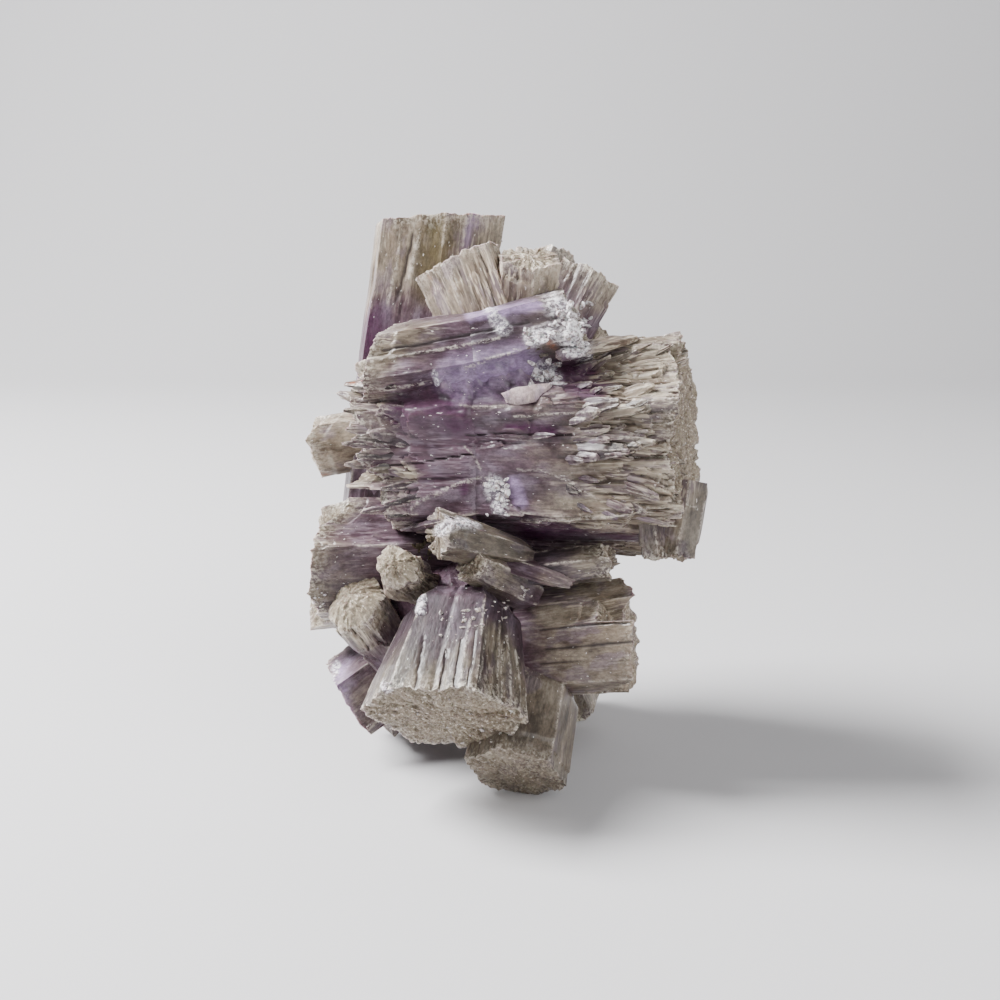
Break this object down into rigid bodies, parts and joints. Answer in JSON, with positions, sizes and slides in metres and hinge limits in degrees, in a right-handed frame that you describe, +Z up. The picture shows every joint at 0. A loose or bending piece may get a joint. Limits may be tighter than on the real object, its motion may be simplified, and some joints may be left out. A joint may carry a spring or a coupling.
{
  "type": "aragonite cluster",
  "caption": "Free-standing cluster of stubby twinned aragonite crystals grown into each other, with grooved sides and ragged pitted ends, lilac inside and khaki at the tips.",
  "frame": {"origin": "on the surface it stands on, under the middle of its bounding box", "axes": "+Z up; -Y towards the viewer who sees the big barrel-like crystal lying across; +X to that viewer's right"},
  "size_m": [0.048, 0.0484, 0.0642],
  "materials": {
    "aragonite": "satin"
  },
  "bodies": {
    "root": {"crystal_cluster": "aragonite"}
  },
  "joints": []
}
